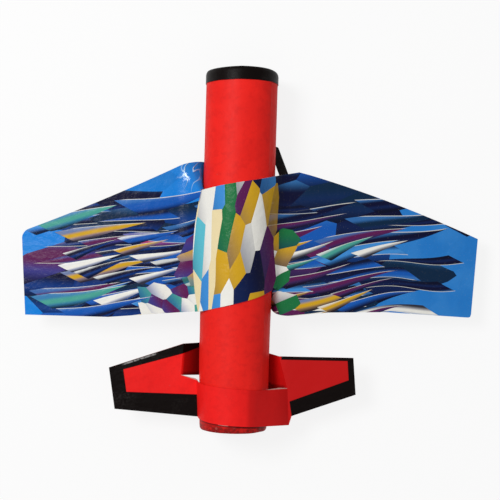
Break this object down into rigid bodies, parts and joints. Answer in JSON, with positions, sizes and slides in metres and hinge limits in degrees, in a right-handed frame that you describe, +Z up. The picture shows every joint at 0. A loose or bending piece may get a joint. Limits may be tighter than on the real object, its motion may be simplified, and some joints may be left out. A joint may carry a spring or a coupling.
{
  "type": "hand glider",
  "caption": "Home made hand thrown glider: a red paper covered cardboard tube with a printed card wing and a red card tail, each woven over and under the tube and able to slide along it.",
  "frame": {"origin": "under the middle of the outline seen from above, on the table that the card tongues under the tube rest on", "axes": "+X across the span to the glider's right, +Y along the tube to the nose, +Z up"},
  "size_m": [0.289, 0.226, 0.0465],
  "materials": {
    "tube_board": "bare spiral wound board",
    "red_paper": "satin",
    "red_card": "satin",
    "printed_card": "glossy print with shallow embossing",
    "black_card": "matt",
    "black_tape": "slight sheen"
  },
  "bodies": {
    "fuselage": {"tube_core": "tube_board", "tube_cover": "red_paper", "nose_tape": "black_tape"},
    "wing": {"wing_right": "printed_card", "wing_left": "printed_card", "wing_brace": "black_card"},
    "tail": {"tail_sheet": "red_card", "tail_tape_left_leading": "black_tape", "tail_tape_left_tip": "black_tape", "tail_tape_left_trailing": "black_tape", "tail_tape_right_leading": "black_tape", "tail_tape_right_tip": "black_tape", "tail_tape_right_trailing": "black_tape"}
  },
  "joints": [
    {"name": "wing_slide", "type": "slide", "parent": "fuselage", "child": "wing", "axis": [0, 1, 0], "range_m": [-0.008, 0.048]},
    {"name": "tail_slide", "type": "slide", "parent": "fuselage", "child": "tail", "axis": [0, 1, 0], "range_m": [-0.02, 0.004]}
  ]
}
